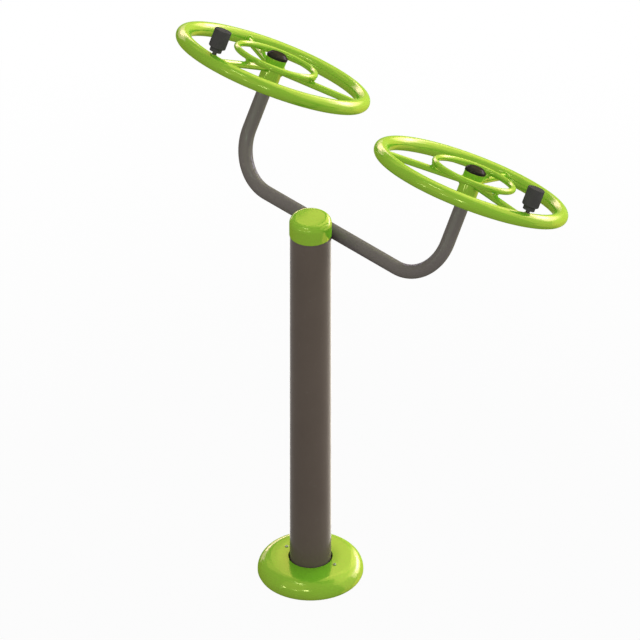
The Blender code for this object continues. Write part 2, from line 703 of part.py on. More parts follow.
def make_knob_pin(name, axis):
    """A shouldered pin welded into the rim, with a head that keeps the knob on."""
    seat = head_seat()
    turned(name + "_knob_pin",
           [(0, STEM_DEPTH), (STEM_RADIUS, STEM_DEPTH), (STEM_RADIUS, KNOB_BOTTOM - SEAT_GAP),
            (PIN_RADIUS, KNOB_BOTTOM - SEAT_GAP), (PIN_RADIUS, seat), (PIN_HEAD_RADIUS, seat),
            (PIN_HEAD_RADIUS, seat + PIN_HEAD_HEIGHT), (0, seat + PIN_HEAD_HEIGHT)],
           SMALL_SIDES, BLACK_STEEL, axis)


def make_knob(name, axis):
    """The turning knob: grip, flanged bush and the lid over the pin's head."""
    seat = head_seat()
    ledge = seat - SEAT_GAP - BUSH_FLANGE_THICKNESS - SEAT_GAP
    bore = bush_radius() + SEAT_GAP
    well = BUSH_FLANGE_RADIUS + SEAT_GAP
    lid_seat = KNOB_TOP - LID_THICKNESS - SEAT_GAP
    lid_bore = LID_RADIUS + SEAT_GAP
    shoulder = KNOB_BOTTOM + KNOB_COLLAR_HEIGHT
    turned(name + "_knob_grip",
           [(bore, KNOB_BOTTOM), (KNOB_COLLAR_RADIUS - KNOB_COLLAR_EDGE, KNOB_BOTTOM),
            (KNOB_COLLAR_RADIUS, KNOB_BOTTOM + KNOB_COLLAR_EDGE), (KNOB_COLLAR_RADIUS, shoulder),
            (KNOB_RADIUS, shoulder + KNOB_FLARE)]
           + arc_points((KNOB_RADIUS - KNOB_EDGE, KNOB_TOP - KNOB_EDGE), KNOB_EDGE, 0, 90, 2)
           + [(lid_bore, KNOB_TOP), (lid_bore, lid_seat), (well, lid_seat), (well, ledge), (bore, ledge)],
           KNOB_SIDES, BLACK_PLASTIC, axis)
    flange_bottom = ledge + SEAT_GAP
    turned(name + "_knob_bush",
           [(PIN_RADIUS + KNOB_GAP, KNOB_BOTTOM), (bush_radius(), KNOB_BOTTOM),
            (bush_radius(), flange_bottom), (BUSH_FLANGE_RADIUS, flange_bottom),
            (BUSH_FLANGE_RADIUS, flange_bottom + BUSH_FLANGE_THICKNESS),
            (PIN_RADIUS + KNOB_GAP, flange_bottom + BUSH_FLANGE_THICKNESS)],
           SMALL_SIDES, BRONZE, axis)
    lid_bottom = KNOB_TOP - LID_THICKNESS
    turned(name + "_knob_lid",
           [(0, lid_bottom), (LID_RADIUS, lid_bottom), (LID_RADIUS, KNOB_TOP - LID_CHAMFER),
            (LID_RADIUS - LID_CHAMFER, KNOB_TOP), (0, KNOB_TOP)],
           KNOB_SIDES, BLACK_PLASTIC, axis)


def make_wheel(name, side):
    """Everything on one wheel's axis, from the spindle in the arm to the knob on the rim."""
    axis = empty_at(name + "_wheel_axis", wheel_centre(side), (WHEEL_TILT, 0, 0))
    make_spindle(name, axis)
    make_bearing(name + "_lower", lower_bearing(), axis)
    make_bearing(name + "_upper", upper_bearing(), axis)
    make_spindle_stack(name, axis)
    make_hub(name, axis)
    make_hub_cap(name, axis)
    make_rim(name, axis)
    make_spokes(name, axis)
    make_inner_ring(name, axis)
    knob_axis = empty_at(name + "_knob_axis", polar(WHEEL_RADIUS, SPOKE_ANGLES[name]), parent=axis)
    make_knob_pin(name, knob_axis)
    make_knob(name, knob_axis)


clear_scene()
make_flange()
for gusset in range(ANCHOR_COUNT):
    make_gusset(gusset)
make_base_cover()
make_post()
make_post_cap()
make_arm_saddle()
make_arm_tube()
make_wheel("right", 1)
make_wheel("left", -1)
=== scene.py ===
"""Looks of the tai chi spinner: its finely shaped pieces, finishes, studio and camera."""

import json
import math

import bmesh
import bpy
from mathutils import Matrix, Vector


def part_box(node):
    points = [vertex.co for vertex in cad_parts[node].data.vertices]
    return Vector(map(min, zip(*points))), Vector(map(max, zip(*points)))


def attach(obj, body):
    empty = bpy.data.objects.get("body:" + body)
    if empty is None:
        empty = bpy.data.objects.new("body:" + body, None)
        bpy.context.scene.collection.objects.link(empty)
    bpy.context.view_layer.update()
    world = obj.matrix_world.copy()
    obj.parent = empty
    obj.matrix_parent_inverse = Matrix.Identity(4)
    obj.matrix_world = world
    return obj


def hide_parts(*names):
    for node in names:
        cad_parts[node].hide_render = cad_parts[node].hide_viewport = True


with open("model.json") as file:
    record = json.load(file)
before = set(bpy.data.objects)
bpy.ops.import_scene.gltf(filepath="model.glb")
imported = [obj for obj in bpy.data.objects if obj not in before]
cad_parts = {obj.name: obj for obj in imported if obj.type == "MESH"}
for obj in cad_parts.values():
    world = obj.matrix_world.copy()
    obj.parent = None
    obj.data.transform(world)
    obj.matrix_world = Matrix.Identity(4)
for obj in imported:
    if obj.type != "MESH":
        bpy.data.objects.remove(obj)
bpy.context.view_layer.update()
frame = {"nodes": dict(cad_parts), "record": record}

# Sizes in metres: the drawing's own, and those of the weld beads and roundings that only the looks have
SEAT_GAP = 0.0003
POST_RADIUS = 0.058
POST_WALL = 0.004
POST_TOP = 1.190
POST_WELD = 0.003
POST_WELD_OUT = 0.002
CAP_RADIUS = 0.0597
CAP_SKIRT_BOTTOM = 1.154
CAP_TOP = 1.2105
CAP_FILLET = 0.0190
CAP_LEDGE = 0.0055
CAP_CROWN = 0.004
CAP_EDGE = 0.0005
COVER_RADIUS = 0.148
COVER_CORNER = 0.0486
COVER_BEND = 0.038
COVER_LIP = (0.0618, 0.053)
COVER_HEM = 0.006
COVER_WALL = 0.002
COVER_COLLAR = 0.012
COVER_EDGE = 0.0008
SCREW_CIRCLE = 0.080
SCREW_ANGLE = math.radians(11.8)
SCREW_TURN = 0.6
FLANGE_TOP = 0.012
BAR_HEIGHT = 1.1257
BAR_OFFSET = 0.0825
ARM_RADIUS = 0.0203
ARM_BEND = 0.136
ARM_END = -0.0493
SADDLE_BEAD = 0.0025
SADDLE_WELD_OUT = 0.001
SADDLE_HALF_WIDTH = 0.017
SADDLE_HALF_HEIGHT = 0.0125
WHEEL_SPACING = 0.7834
WHEEL_TILT = math.radians(30)
WHEEL_STANDOFF = 0.3216
RIM_RADIUS = 0.269
RIM_TUBE = 0.0207
SPOKE_RADIUS = 0.010
RING_RADIUS = 0.116
RING_BAR = 0.009
RING_LIFT = 0.024
FOOT_RADIUS = 0.007
FOOT_OVERLAP = 0.004
SPOKE_IN_HUB = 0.002
SPOKE_IN_RIM = 0.004
SPOKE_WELD_OUT = 0.001
RIM_WELD = 0.0028
HUB_WELD = 0.0026
FOOT_WELD = 0.0020
HUB_RADIUS = 0.0296
HUB_BOTTOM = -0.042
HUB_TOP = 0.0307
HUB_BORE = 0.0213
HUB_CHAMFER = 0.0010
STEM_RADIUS = 0.0065
KNOB_BOTTOM = 0.030
KNOB_TOP = 0.096
KNOB_RADIUS = 0.0248
LID_RADIUS = 0.018
LID_THICKNESS = 0.0035
PIN_RADIUS = 0.005
PIN_HEAD = (0.010, 0.007)
PIN_PLAY = 0.0012
PIN_SEAT = KNOB_TOP - LID_THICKNESS - PIN_HEAD[1] - PIN_PLAY
SPOKE_ANGLES = {"right": math.radians(87.7), "left": math.radians(167.5)}
SIDES = {"right": 1, "left": -1}
WHEEL_AXIS = Vector((0, -math.sin(WHEEL_TILT), math.cos(WHEEL_TILT)))

# What counts as a sharp edge, as one point and as lying on a ring, and how a weld bead ripples
SHARP_EDGE = math.radians(40)
MERGE_DISTANCE = 1e-6
RING_TOLERANCE = 1e-5
RIPPLE_HEIGHT = 0.10
RIPPLE_RATE = 4.5

# Colours that finishes share
WHITE = (1.0, 1.0, 1.0, 1.0)
DUST = (0.55, 0.53, 0.48, 1.0)
RUBBED = (0.12, 0.12, 0.12, 1.0)
EDGE_TINT = (1.0, 0.86, 0.47, 1.0)
PLASTIC_SHEEN = (1.0, 0.84, 0.30, 1.0)

# Where the photograph is taken from
CAMERA_BACK = Vector((-1, 1, 1)).normalized()
CAMERA_RIGHT = Vector((-1, -1, 0)).normalized()
CAMERA_UP = CAMERA_BACK.cross(CAMERA_RIGHT)
CAMERA_DISTANCE = 4.0
CAMERA_REACH = 50
CAMERA_WIDTH = 1.7904
AIM_RIGHT = 0.0266
AIM_UP = 0.7013

# The floor's half size, its grey in the light, and how it fades to white between two distances
FLOOR_REACH = 3.0
FLOOR_GREY = (0.38, 0.38, 0.38, 1.0)
FLOOR_SHADE = 0.96
FLOOR_FADE = (0.9, 2.6)
AMBIENT = 0.45

# Far soft boxes: name, azimuth, elevation, width and height in degrees, brightness, and for some a colour.
# The light boxes light the pieces and aren't mirrored in their gloss; the mirrored ones are only seen there.
# The cool colour comes out cream in the green paint's golden sheen.
BOX_DISTANCE = 20.0
WARM = (1.0, 0.92, 0.75)
COOL = (0.53, 0.43, 2.10)
SPARK = (0.70, 0.95, 1.60)
KEY_BOX = ("key_box", 133, 16, 60, 46, 1.9)
LIGHT_BOXES = (
    ("back_box", 162, 37, 46, 28, 1.1),
    ("front_box", 0, 58, 70, 44, 0.80),
    ("right_box", 75, 15, 50, 50, 0.6),
)
MIRRORED_BOXES = (
    ("wide_glow", 124, 16, 112, 98, 1.1),
    ("top_glow", 150, 59, 110, 28, 0.8),
    ("back_glow", 158, 36, 40, 30, 1.1),
    ("low_back_glow", 152, -24, 76, 52, 1.2, WARM),
    ("low_right_glow", 122, -44, 76, 26, 1.0, WARM),
    ("left_glow", 318, 40, 44, 50, 0.4),
    ("key_halo", 131, 8, 58, 32, 3.0, COOL),
    ("key_bright", 135, 7, 44, 20, 6.0, COOL),
    ("key_core", 136, 9, 28, 10, 14.0, COOL),
    ("low_halo", 196, 0, 42, 26, 5.0, COOL),
    ("low_core", 190, 2, 26, 12, 14.0, COOL),
    ("front_glint", -9, 24, 7, 6, 24.0, SPARK),
    ("side_glint", -58, 15, 6, 5, 16.0, SPARK),
    ("inner_glint", -31, 19, 5, 4, 12.0, SPARK),
    ("upper_glint", -57, 72, 16, 4, 12.0, SPARK),
)


# Shader expressions

class Signal:
    """A node's output that Python arithmetic can read."""

    def __init__(self, finish, socket):
        self.finish = finish
        self.socket = socket

    def maths(self, operation, first, second):
        return self.finish.node("ShaderNodeMath", {"operation": operation}, {0: first, 1: second})

    def __add__(self, other):
        return self.maths("ADD", self, other)

    def __radd__(self, other):
        return self.maths("ADD", other, self)

    def __sub__(self, other):
        return self.maths("SUBTRACT", self, other)

    def __rsub__(self, other):
        return self.maths("SUBTRACT", other, self)

    def __mul__(self, other):
        return self.maths("MULTIPLY", self, other)

    def __rmul__(self, other):
        return self.maths("MULTIPLY", other, self)


class Finish:
    """A material, or the world, whose nodes are written as expressions."""

    def __init__(self, owner):
        owner.use_nodes = True
        self.owner = owner
        self.tree = owner.node_tree

    def feed(self, socket, value):
        if isinstance(value, Signal):
            self.tree.links.new(value.socket, socket)
        else:
            socket.default_value = value

    def node(self, kind, settings=None, inputs=None, output=0):
        made = self.tree.nodes.new(kind)
        for key, value in (settings or {}).items():
            setattr(made, key, value)
        for key, value in (inputs or {}).items():
            self.feed(made.inputs[key], value)
        return Signal(self, made.outputs[output])

    def place(self):
        """Where a point lies on its own piece, in metres."""
        return self.node("ShaderNodeTexCoord", output="Object")

    def stretched(self, scale):
        return self.node("ShaderNodeMapping", {}, {"Vector": self.place(), "Scale": scale})

    def noise(self, where, scale, detail=2.0, roughness=0.5):
        return self.node("ShaderNodeTexNoise", {}, {"Vector": where, "Scale": scale, "Detail": detail,
                                                    "Roughness": roughness}, output="Fac")

    def between(self, signal, low, high, to_low=0.0, to_high=1.0):
        """The signal's range low..high, spread over to_low..to_high and held there."""
        return self.node("ShaderNodeMapRange", {}, {"Value": signal, "From Min": low, "From Max": high,
                                                    "To Min": to_low, "To Max": to_high})

    def blend(self, factor, first, second):
        return self.node("ShaderNodeMix", {"data_type": "RGBA"}, {"Factor": factor, 6: first, 7: second},
                         output=2)

    def bump(self, height, strength, distance):
        return self.node("ShaderNodeBump", {}, {"Height": height, "Strength": strength, "Distance": distance},
                         output="Normal")

    def surface(self, **sockets):
        """Feeds the Principled shader: Base_Color=..., Roughness=... and so on."""
        shader = self.tree.nodes["Principled BSDF"]
        for key, value in sockets.items():
            self.feed(shader.inputs[key.replace("_", " ")], value)
        return self.owner

    def add_sheen(self, share, colour, roughness, normal):
        """Mix in a mirror-like share with a colour of its own, like a paint's flakes, paler at the edges."""
        paint = Signal(self, self.tree.nodes["Principled BSDF"].outputs[0])
        flakes = self.node("ShaderNodeBsdfPrincipled", {}, {"Base Color": colour, "Metallic": 1.0,
                                                            "Specular Tint": EDGE_TINT,
                                                            "Roughness": roughness, "Normal": normal})
        both = self.node("ShaderNodeMixShader", {}, {0: share, 1: paint, 2: flakes})
        self.feed(self.tree.nodes["Material Output"].inputs["Surface"], both)


def new_finish(name):
    return Finish(bpy.data.materials.new(name))


def gloss_paint(name, pale, deep, roughness, shine, sheen=0.0, sheen_colour=None):
    """Powder coat under a clear gloss: slow drifts of tone, orange peel and fine dust.

    shine is the clear gloss itself, and sheen the share of coloured flakes."""
    finish = new_finish(name)
    where = finish.place()
    drift = finish.noise(where, 5.0, 3.0)
    grain = finish.noise(where, 900.0, 2.0)
    peel = finish.noise(where, 260.0, 2.0)
    dust = finish.between(finish.noise(where, 55.0, 6.0, 0.7), 0.60, 0.78)
    tone = finish.between(drift * 0.8 + grain * 0.2, 0.35, 0.65)
    colour = finish.blend(tone, deep, pale)
    dusty = finish.blend(dust * 0.05, colour, DUST)
    smear = finish.between(finish.noise(where, 14.0, 4.0), 0.3, 0.7, roughness * 0.85, roughness * 1.25)
    rough = smear + dust * 0.10
    relief = finish.bump(peel, 0.12, 0.0003)
    finish.surface(Base_Color=dusty, Roughness=rough, Specular_IOR_Level=shine, Normal=relief)
    if sheen:
        finish.add_sheen(sheen, sheen_colour, rough, relief)
    return finish.owner


def moulded_plastic(name, pale, deep, roughness, texture_depth, sheen):
    """Injection-moulded plastic with a fine spark-eroded texture and paler rubbed spots."""
    finish = new_finish(name)
    where = finish.place()
    sparks = finish.noise(where, 1400.0, 3.0, 0.6)
    flow = finish.noise(where, 30.0, 3.0)
    rubbed = finish.between(finish.noise(where, 90.0, 5.0, 0.65), 0.55, 0.75)
    colour = finish.blend(finish.between(flow, 0.3, 0.7), deep, pale)
    worn = finish.blend(rubbed * 0.12, colour, RUBBED)
    rough = roughness + sparks * 0.08 - rubbed * 0.05
    relief = finish.bump(sparks, 0.25, texture_depth)
    finish.surface(Base_Color=worn, Roughness=rough, Specular_IOR_Level=0.0, Normal=relief)
    finish.add_sheen(sheen, PLASTIC_SHEEN, rough, relief)
    return finish.owner


def bare_metal(name, pale, deep, roughness, lay):
    """Plated or machined metal; lay stretches the marks that the tool left."""
    finish = new_finish(name)
    marks = finish.noise(finish.stretched(lay), 500.0, 4.0, 0.6)
    cloud = finish.noise(finish.place(), 40.0, 3.0)
    colour = finish.blend(finish.between(cloud, 0.3, 0.7), deep, pale)
    return finish.surface(Base_Color=colour, Metallic=1.0, Roughness=roughness + marks * 0.12,
                          Normal=finish.bump(marks, 0.15, 0.00002))


FINISHES = {
    "green_paint": gloss_paint("green_paint", (0.214, 0.556, 0.030, 1), (0.184, 0.506, 0.026, 1),
                               0.14, 0.0, 0.10, (1.0, 0.76, 0.17, 1)),
    "brown_paint": gloss_paint("brown_paint", (0.166, 0.132, 0.107, 1), (0.153, 0.121, 0.098, 1),
                               0.20, 0.04),
    # The arm has the post's brown paint; this copy is paler and greyer, a painted sky reflection on the arm
    "arm_paint_lit_copy": gloss_paint("arm_paint_lit_copy", (0.186, 0.161, 0.160, 1), (0.164, 0.140, 0.142, 1),
                             0.26, 0.0, 0.022, (0.85, 0.92, 0.36, 1)),
    "black_plastic": moulded_plastic("black_plastic", (0.074, 0.073, 0.071, 1), (0.060, 0.060, 0.058, 1),
                                     0.42, 0.0001, 0.006),
    "black_gloss": moulded_plastic("black_gloss", (0.018, 0.018, 0.018, 1), (0.014, 0.014, 0.014, 1),
                                   0.18, 0.00003, 0.010),
    "zinc_steel": bare_metal("zinc_steel", (0.62, 0.63, 0.66, 1), (0.50, 0.52, 0.56, 1),
                             0.28, (1, 1, 6)),
    "bearing_steel": bare_metal("bearing_steel", (0.66, 0.66, 0.68, 1), (0.58, 0.58, 0.60, 1),
                                0.16, (1, 1, 14)),
    "bronze": bare_metal("bronze", (0.60, 0.40, 0.18, 1), (0.50, 0.32, 0.13, 1),
                         0.30, (1, 1, 4)),
    "screw_steel": bare_metal("screw_steel", (0.25, 0.27, 0.10, 1), (0.20, 0.21, 0.08, 1),
                              0.50, (3, 3, 1)),
    "black_steel": bare_metal("black_steel", (0.050, 0.046, 0.030, 1), (0.040, 0.036, 0.024, 1),
                              0.30, (1, 1, 8)),
}


# Shaping

def spun(outline, steps, rounded=(), closed=False):
    """Spin an outline of (radius, height) points round Z, then round its named rings.

    rounded lists ((radius, height), width, segments)."""
    bm = bmesh.new()
    chain = [bm.verts.new((radius, 0, height)) for radius, height in outline]
    edges = [bm.edges.new(pair) for pair in zip(chain, chain[1:])]
    if closed:
        edges.append(bm.edges.new((chain[-1], chain[0])))
    bmesh.ops.spin(bm, geom=chain + edges, cent=(0, 0, 0), axis=(0, 0, 1), angle=math.tau, steps=steps,
                   use_merge=True, use_duplicate=False)
    bmesh.ops.remove_doubles(bm, verts=bm.verts, dist=MERGE_DISTANCE)
    bmesh.ops.recalc_face_normals(bm, faces=bm.faces)
    for (radius, height), width, segments in rounded:
        soften(bm, ring_at(bm, radius, height), width, segments)
    return bm


def ring_at(bm, radius, height):
    """The edges of one ring of a spun shape."""
    def on_ring(vert):
        out = abs(math.hypot(vert.co.x, vert.co.y) - radius)
        return out < RING_TOLERANCE and abs(vert.co.z - height) < RING_TOLERANCE
    return [edge for edge in bm.edges if all(on_ring(vert) for vert in edge.verts)]


def soften(bm, edges, width, segments):
    bmesh.ops.bevel(bm, geom=edges, offset=width, offset_type="OFFSET", affect="EDGES", segments=segments,
                    profile=0.5, material=-1, clamp_overlap=True)


def bent_ring(ring_radius, bar_radius, steps, sides, lift=0.0):
    """A full ring of round bar."""
    bm = bmesh.new()
    bmesh.ops.create_circle(bm, segments=sides, radius=bar_radius)
    bmesh.ops.transform(bm, matrix=shifted(ring_radius, 0, lift) @ STAND_UP, verts=bm.verts)
    bmesh.ops.spin(bm, geom=bm.verts[:] + bm.edges[:], cent=(0, 0, 0), axis=(0, 0, 1), angle=math.tau,
                   steps=steps, use_merge=True, use_duplicate=False)
    bmesh.ops.remove_doubles(bm, verts=bm.verts, dist=MERGE_DISTANCE)
    bmesh.ops.recalc_face_normals(bm, faces=bm.faces)
    return bm


def weld_ring(radius, bead, seat, steps=96, sides=10):
    """A weld bead round a bar that stands on Z. seat(x, y) is the height where the bar lands."""
    bm = bent_ring(radius, bead, steps, sides)
    waves = round(radius / bead * RIPPLE_RATE)
    for vert in bm.verts:
        around = math.atan2(vert.co.y, vert.co.x)
        ripple = 1.0 + RIPPLE_HEIGHT * math.sin(around * waves)
        middle = Vector((radius * math.cos(around), radius * math.sin(around), 0))
        vert.co = middle + (vert.co - middle) * ripple
        vert.co.z += seat(middle.x, middle.y)
    return bm


def extruded(bm, edges, move):
    """Extrude open edges and move them on; returns the new edges."""
    grown = bmesh.ops.extrude_edge_only(bm, edges=edges)["geom"]
    verts = {item for item in grown if isinstance(item, bmesh.types.BMVert)}
    bmesh.ops.transform(bm, matrix=move, verts=list(verts))
    return [item for item in grown if isinstance(item, bmesh.types.BMEdge) and verts.issuperset(item.verts)]


def finished(bm, name, slot, body, place=Matrix.Identity(4), replaces=(), finish=None):
    """Set a shape down in its place as a piece that rides on its body.

    finish names the look where it isn't simply the slot's."""
    bmesh.ops.transform(bm, matrix=place, verts=bm.verts)
    mesh = bpy.data.meshes.new(name)
    bm.to_mesh(mesh)
    bm.free()
    mesh.shade_smooth()
    mesh.set_sharp_from_angle(angle=SHARP_EDGE)
    mesh.materials.append(FINISHES[finish or slot])
    piece = bpy.data.objects.new(name, mesh)
    bpy.context.scene.collection.objects.link(piece)
    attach(piece, body)
    if replaces:
        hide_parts(*replaces)
    return piece


def wheel_place(name):
    """The frame of a wheel: origin at the rim's centre, Z along its axis and Y uphill."""
    corner = Vector((SIDES[name] * WHEEL_SPACING / 2, -BAR_OFFSET, BAR_HEIGHT))
    return Matrix.Translation(corner + WHEEL_STANDOFF * WHEEL_AXIS) @ Matrix.Rotation(WHEEL_TILT, 4, "X")


def spoke_angle(name, number):
    return SPOKE_ANGLES[name] + (number - 1) * math.tau / 3


def turned_to(angle):
    return Matrix.Rotation(angle, 4, "Z")


def shifted(x, y, z):
    return Matrix.Translation((x, y, z))


def widened(share):
    return Matrix.Diagonal((share, share, 1, 1))


LIE_DOWN = Matrix.Rotation(math.pi / 2, 4, "Y")
STAND_UP = Matrix.Rotation(math.pi / 2, 4, "X")


# Stand

def make_base_cover():
    lip_radius, lip_height = COVER_LIP
    hem_radius = COVER_RADIUS - COVER_HEM / 2
    collar_radius = lip_radius + COVER_WALL
    inner_corner = (COVER_RADIUS - COVER_WALL, COVER_CORNER - COVER_WALL)
    collar_bottom = lip_height - COVER_COLLAR
    outline = [(hem_radius, 0), (COVER_RADIUS, COVER_HEM), (COVER_RADIUS, COVER_CORNER),
               (lip_radius, lip_height), (lip_radius, collar_bottom), (collar_radius, collar_bottom),
               (collar_radius, lip_height - COVER_WALL), inner_corner,
               (COVER_RADIUS - COVER_WALL, COVER_HEM), (hem_radius - COVER_WALL, 0)]
    rounded = [((COVER_RADIUS, COVER_CORNER), COVER_BEND, 24),
               (inner_corner, COVER_BEND - COVER_WALL, 16),
               ((lip_radius, lip_height), COVER_EDGE, 3)]
    shell = spun(outline, 160, rounded, closed=True)
    finished(shell, "base_cover_shell", "green_paint", "stand", replaces=["base_cover"])


def make_cover_screws():
    for number in (1, 2):
        node = f"cover_screw_{number}"
        low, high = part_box(node)
        angle = SCREW_ANGLE + (number - 1) * math.pi
        spot = shifted(SCREW_CIRCLE * math.cos(angle), SCREW_CIRCLE * math.sin(angle), high[2])
        screw = cross_screw(high[2] - low[2])
        finished(screw, f"cover_screw_head_{number}", "screw_steel", "stand", spot @ turned_to(SCREW_TURN),
                 [node])


def cross_screw(length):
    """A pan-head screw whose top is at height 0, with a cross recess.

    crown is the flat top's share of the head's radius. Two slopes below it each widen the head by their
    factor, and each takes up drop, a share of its height."""
    head_radius, head_height, shank = 0.005, 0.003, 0.0025
    slot, arm, depth, taper = 0.0007, 0.0026, 0.0015, 0.75
    crown, first_slope, second_slope, drop = 0.72, 1.25, 1.111, 0.35
    bm = bmesh.new()
    outer = bmesh.ops.create_circle(bm, segments=48, radius=head_radius * crown)["verts"]
    rim = list({edge for vert in outer for edge in vert.link_edges})
    cross = bmesh.ops.create_circle(bm, segments=12, radius=arm)["verts"]
    cross.sort(key=lambda vert: math.atan2(vert.co.y, vert.co.x))
    for index, vert in enumerate(cross):
        quarter = Matrix.Rotation((index // 3) * math.pi / 2 - math.pi, 3, "Z")
        corner = ((arm, slot), (slot, slot), (slot, arm))[index % 3]
        vert.co = quarter @ Vector((*corner, 0))
    mouth = list({edge for vert in cross for edge in vert.link_edges})
    bmesh.ops.bridge_loops(bm, edges=rim + mouth)
    floor = extruded(bm, mouth, shifted(0, 0, -depth) @ widened(taper))
    bmesh.ops.edgeloop_fill(bm, edges=floor)
    side = extruded(bm, rim, shifted(0, 0, -head_height * drop) @ widened(first_slope))
    side = extruded(bm, side, shifted(0, 0, -head_height * drop) @ widened(second_slope))
    side = extruded(bm, side, shifted(0, 0, -head_height * (1 - 2 * drop)))
    side = extruded(bm, side, widened(shank / head_radius))
    side = extruded(bm, side, shifted(0, 0, head_height - length))
    bmesh.ops.edgeloop_fill(bm, edges=side)
    bmesh.ops.recalc_face_normals(bm, faces=bm.faces)
    return bm


def make_post():
    bore = POST_RADIUS - POST_WALL
    foot = FLANGE_TOP + SEAT_GAP
    outline = [(bore, foot), (POST_RADIUS, foot), (POST_RADIUS, POST_TOP), (bore, POST_TOP)]
    tube = spun(outline, 160, closed=True)
    finished(tube, "post_column", "brown_paint", "stand", replaces=["post_tube"])
    rise = FLANGE_TOP + POST_WELD_OUT
    foot_weld = weld_ring(POST_RADIUS + POST_WELD_OUT, POST_WELD, lambda x, y: rise, steps=240)
    finished(foot_weld, "post_foot_weld", "zinc_steel", "stand")


def make_post_cap():
    bore = POST_RADIUS + SEAT_GAP
    ledge = bore - CAP_LEDGE
    seat = POST_TOP + SEAT_GAP
    flat = CAP_RADIUS - CAP_FILLET
    ceiling = CAP_TOP - CAP_CROWN
    outline = [(0, CAP_TOP), (CAP_RADIUS, CAP_TOP), (CAP_RADIUS, CAP_SKIRT_BOTTOM),
               (bore, CAP_SKIRT_BOTTOM), (bore, seat), (ledge, seat), (ledge, seat + CAP_LEDGE),
               (flat, ceiling), (0, ceiling)]
    rounded = [((CAP_RADIUS, CAP_TOP), CAP_FILLET, 20), ((CAP_RADIUS, CAP_SKIRT_BOTTOM), CAP_EDGE, 3)]
    finished(spun(outline, 160, rounded), "post_cap_shell", "green_paint", "stand", replaces=["post_cap"])


def make_arm():
    """The cross arm, drawn out of one circle: down, round the bend, along, round again and up."""
    bend_axis = WHEEL_AXIS.cross(Vector((1, 0, 0)))
    upright = WHEEL_STANDOFF + ARM_END - ARM_BEND
    straight = WHEEL_SPACING - 2 * ARM_BEND
    middle = Vector((0, -BAR_OFFSET, BAR_HEIGHT)) + ARM_BEND * WHEEL_AXIS
    bm = bmesh.new()
    bmesh.ops.create_circle(bm, segments=48, radius=ARM_RADIUS)
    bmesh.ops.transform(bm, matrix=wheel_place("right") @ shifted(0, 0, ARM_END), verts=bm.verts)
    first = bm.edges[:]
    loop = extruded(bm, first, Matrix.Translation(-upright * WHEEL_AXIS))
    for reach in (straight / 2, -straight / 2):
        verts = list({vert for edge in loop for vert in edge.verts})
        bend = bmesh.ops.spin(bm, geom=verts + loop, cent=middle + Vector((reach, 0, 0)), axis=bend_axis,
                              angle=math.pi / 2, steps=28, use_merge=False,
                              use_duplicate=False)["geom_last"]
        loop = [item for item in bend if isinstance(item, bmesh.types.BMEdge)]
        onward = Vector((-straight, 0, 0)) if reach > 0 else upright * WHEEL_AXIS
        loop = extruded(bm, loop, Matrix.Translation(onward))
    bmesh.ops.edgeloop_fill(bm, edges=first)
    bmesh.ops.edgeloop_fill(bm, edges=loop)
    bmesh.ops.remove_doubles(bm, verts=bm.verts, dist=MERGE_DISTANCE)
    bmesh.ops.recalc_face_normals(bm, faces=bm.faces)
    finished(bm, "arm_bent_tube", "brown_paint", "stand", replaces=["arm_tube"], finish="arm_paint_lit_copy")


def make_saddle_welds():
    """Beads above and below the saddle block, along the post and along the arm."""
    for name, rise in (("top", SADDLE_HALF_HEIGHT), ("bottom", -SADDLE_HALF_HEIGHT)):
        make_saddle_post_weld(name, rise)
        make_saddle_arm_weld(name, rise)


def make_saddle_post_weld(name, rise):
    sweep = 2 * math.asin(SADDLE_HALF_WIDTH / POST_RADIUS)
    corner = turned_to(-math.pi / 2 - sweep / 2) @ shifted(POST_RADIUS + SADDLE_WELD_OUT, 0, 0)
    bm = bmesh.new()
    bmesh.ops.create_circle(bm, segments=12, radius=SADDLE_BEAD)
    bmesh.ops.transform(bm, matrix=corner @ STAND_UP, verts=bm.verts)
    first = bm.edges[:]
    swept = bmesh.ops.spin(bm, geom=bm.verts[:] + first, cent=(0, 0, 0), axis=(0, 0, 1), angle=sweep,
                           steps=24, use_merge=False, use_duplicate=False)["geom_last"]
    last = [item for item in swept if isinstance(item, bmesh.types.BMEdge)]
    bmesh.ops.edgeloop_fill(bm, edges=first)
    bmesh.ops.edgeloop_fill(bm, edges=last)
    bmesh.ops.recalc_face_normals(bm, faces=bm.faces)
    finished(bm, f"saddle_post_weld_{name}", "brown_paint", "stand", shifted(0, 0, BAR_HEIGHT + rise))


def make_saddle_arm_weld(name, rise):
    outwards = math.sqrt((ARM_RADIUS + SADDLE_WELD_OUT) ** 2 - rise ** 2)
    bm = bmesh.new()
    bmesh.ops.create_circle(bm, segments=12, radius=SADDLE_BEAD)
    first = bm.edges[:]
    last = extruded(bm, first, shifted(0, 0, 2 * SADDLE_HALF_WIDTH))
    bmesh.ops.edgeloop_fill(bm, edges=first)
    bmesh.ops.edgeloop_fill(bm, edges=last)
    bmesh.ops.recalc_face_normals(bm, faces=bm.faces)
    place = shifted(-SADDLE_HALF_WIDTH, outwards - BAR_OFFSET, BAR_HEIGHT + rise) @ LIE_DOWN
    finished(bm, f"saddle_arm_weld_{name}", "brown_paint", "stand", place, finish="arm_paint_lit_copy")


# Wheels

def make_rim(name, place, body):
    finished(bent_ring(RIM_RADIUS, RIM_TUBE, 256, 48), name + "_rim_tube", "green_paint", body, place,
             [name + "_rim"])


def rim_seat(x, y):
    """How far out along a spoke, lying on Z here, its side meets the rim's tube."""
    middle = RIM_RADIUS - math.sqrt(RIM_TUBE ** 2 - x ** 2)
    return math.sqrt(middle ** 2 - y ** 2)


def hub_seat(x, y):
    """How far out along a spoke, lying on Z here, its side meets the hub."""
    return math.sqrt(HUB_RADIUS ** 2 - y ** 2)


def foot_seat(x, y):
    """How high a ring's foot, standing on Z here, meets the spoke under it."""
    return math.sqrt(SPOKE_RADIUS ** 2 - y ** 2)


def foot_top(x, y):
    """How high a ring's foot, standing on Z here, meets the ring over it."""
    return RING_LIFT - math.sqrt(RING_BAR ** 2 - x ** 2)


